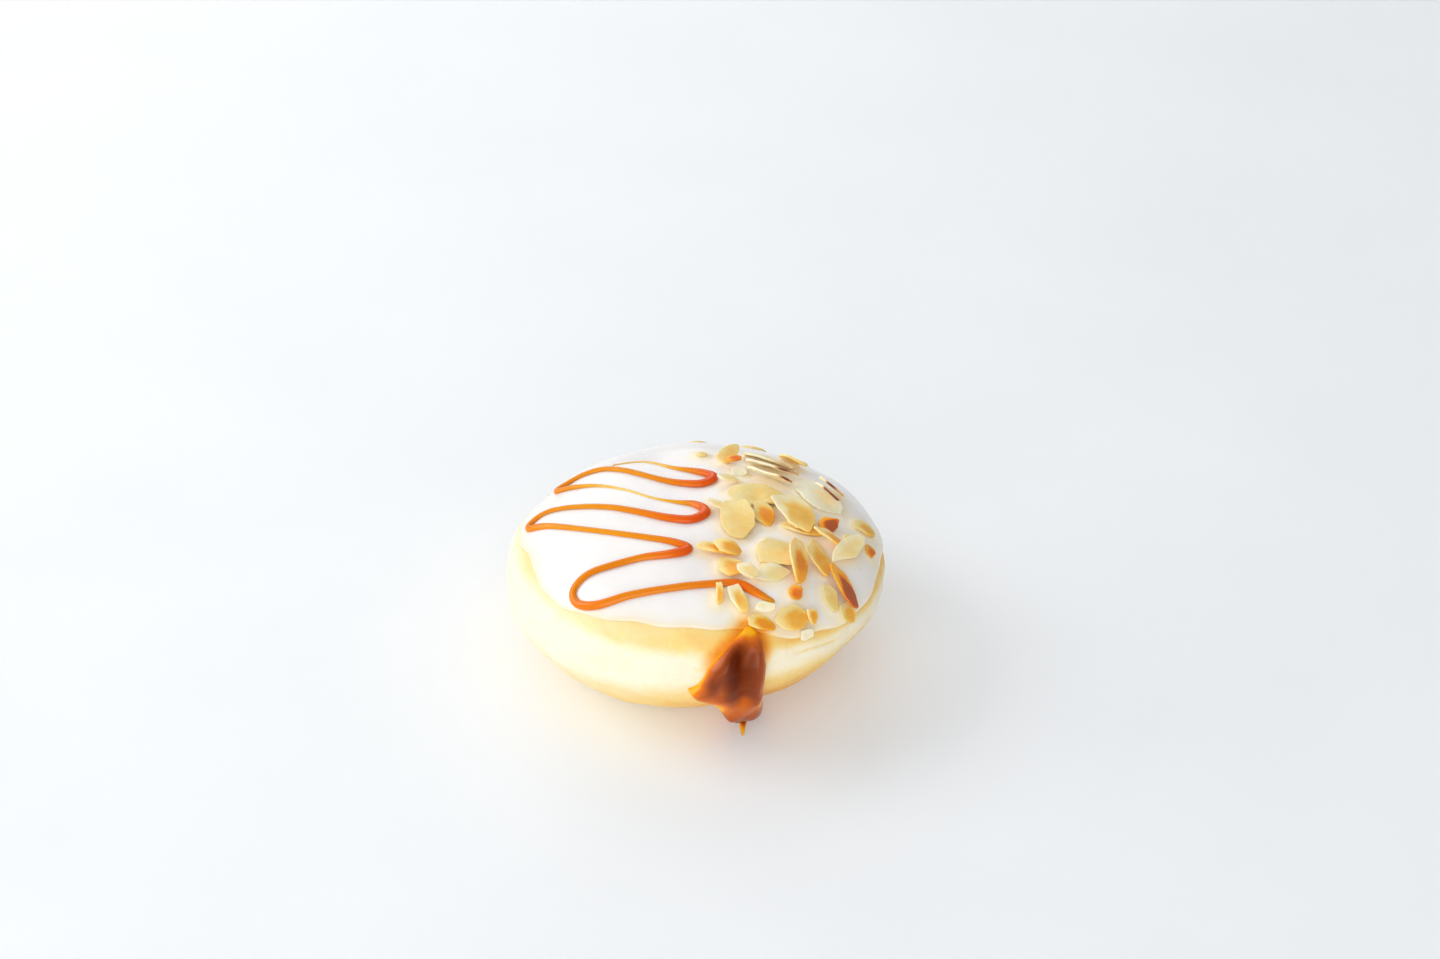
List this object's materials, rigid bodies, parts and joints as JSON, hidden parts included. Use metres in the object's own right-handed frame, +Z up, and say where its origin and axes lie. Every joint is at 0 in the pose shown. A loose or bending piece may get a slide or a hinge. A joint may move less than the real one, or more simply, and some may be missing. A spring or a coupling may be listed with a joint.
{
  "type": "filled doughnut",
  "caption": "Round filled doughnut, iced white, with a caramel zigzag on one half, flaked almonds on the other and caramel filling running from a mouth in its side.",
  "frame": {"origin": "middle of the dough's diameter, in the plane of the flat that it rests on", "axes": "+Z up from the resting flat, front towards -Y with the mouth that the filling runs from, drizzle on the -X half and almonds on the +X half"},
  "size_m": [0.0904, 0.0946, 0.0422],
  "materials": {
    "dough": "fried dough: golden crust with a pale ring at the waist",
    "icing": "set white sugar icing, softly glossy",
    "caramel_filling": "dark wet caramel, amber where thin",
    "caramel_drizzle": "glossy amber caramel",
    "almond": "toasted flaked almond, cream with browned rims"
  },
  "bodies": {
    "root": {"almond_flake_01": "almond", "almond_flake_02": "almond", "almond_flake_03": "almond", "almond_flake_04": "almond", "almond_flake_05": "almond", "almond_flake_06": "almond", "almond_flake_07": "almond", "almond_flake_08": "almond", "almond_flake_09": "almond", "almond_flake_10": "almond", "almond_flake_11": "almond", "almond_flake_12": "almond", "almond_flake_13": "almond", "almond_flake_14": "almond", "almond_flake_15": "almond", "almond_flake_16": "almond", "almond_flake_17": "almond", "almond_flake_18": "almond", "almond_flake_19": "almond", "almond_flake_20": "almond", "almond_flake_21": "almond", "almond_flake_22": "almond", "almond_flake_23": "almond", "almond_flake_24": "almond", "almond_flake_25": "almond", "almond_flake_26": "almond", "almond_flake_27": "almond", "almond_flake_28": "almond", "almond_flake_29": "almond", "almond_flake_30": "almond", "almond_flake_31": "almond", "almond_flake_32": "almond", "almond_flake_33": "almond", "almond_flake_34": "almond", "almond_flake_35": "almond", "almond_flake_36": "almond", "almond_flake_37": "almond", "almond_flake_38": "almond", "almond_flake_39": "almond", "almond_flake_40": "almond", "almond_flake_41": "almond", "almond_flake_42": "almond", "almond_flake_43": "almond", "almond_flake_44": "almond", "almond_sliver_01": "almond", "almond_sliver_02": "almond", "almond_sliver_03": "almond", "almond_sliver_04": "almond", "caramel_drizzle": "caramel_drizzle", "caramel_filling": "caramel_filling", "dough": "dough", "icing": "icing"}
  },
  "joints": []
}
